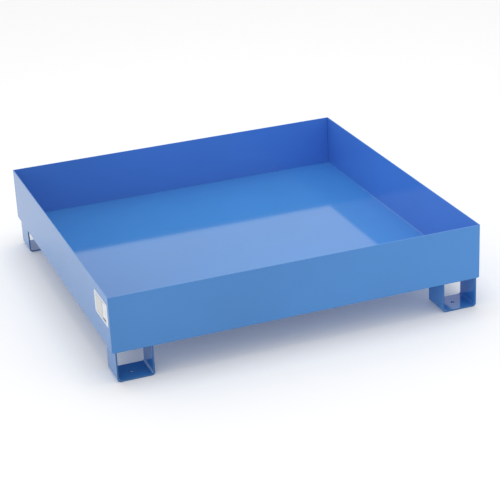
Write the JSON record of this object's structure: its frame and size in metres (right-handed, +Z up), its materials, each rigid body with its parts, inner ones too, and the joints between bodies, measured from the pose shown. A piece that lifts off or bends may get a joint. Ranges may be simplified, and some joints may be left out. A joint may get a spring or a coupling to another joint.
{
  "type": "spill containment tray",
  "caption": "Open rectangular spill tray of welded sheet steel, painted blue, on U-shaped bent bar feet that leave room for forks.",
  "frame": {"origin": "on the ground, under the middle of the tray", "axes": "+Z up, +X along the width towards the right wall, +Y along the depth towards the back wall"},
  "size_m": [1.2363, 1.21, 0.285],
  "materials": {
    "painted_sheet": "gloss",
    "painted_bar": "gloss",
    "painted_weld": "gloss",
    "label": "satin"
  },
  "bodies": {
    "root": {"pan_sheet": "painted_sheet", "front_plate": "painted_sheet", "back_plate": "painted_sheet", "corner_weld_front_left": "painted_weld", "corner_weld_front_right": "painted_weld", "corner_weld_back_left": "painted_weld", "corner_weld_back_right": "painted_weld", "floor_weld_front": "painted_weld", "floor_weld_back": "painted_weld", "foot_front_left": "painted_bar", "foot_front_right": "painted_bar", "foot_back_left": "painted_bar", "foot_back_right": "painted_bar", "foot_weld_front_left_outer": "painted_weld", "foot_weld_front_left_inner": "painted_weld", "foot_weld_front_right_outer": "painted_weld", "foot_weld_front_right_inner": "painted_weld", "foot_weld_back_left_outer": "painted_weld", "foot_weld_back_left_inner": "painted_weld", "foot_weld_back_right_outer": "painted_weld", "foot_weld_back_right_inner": "painted_weld", "type_label": "label"}
  },
  "joints": []
}
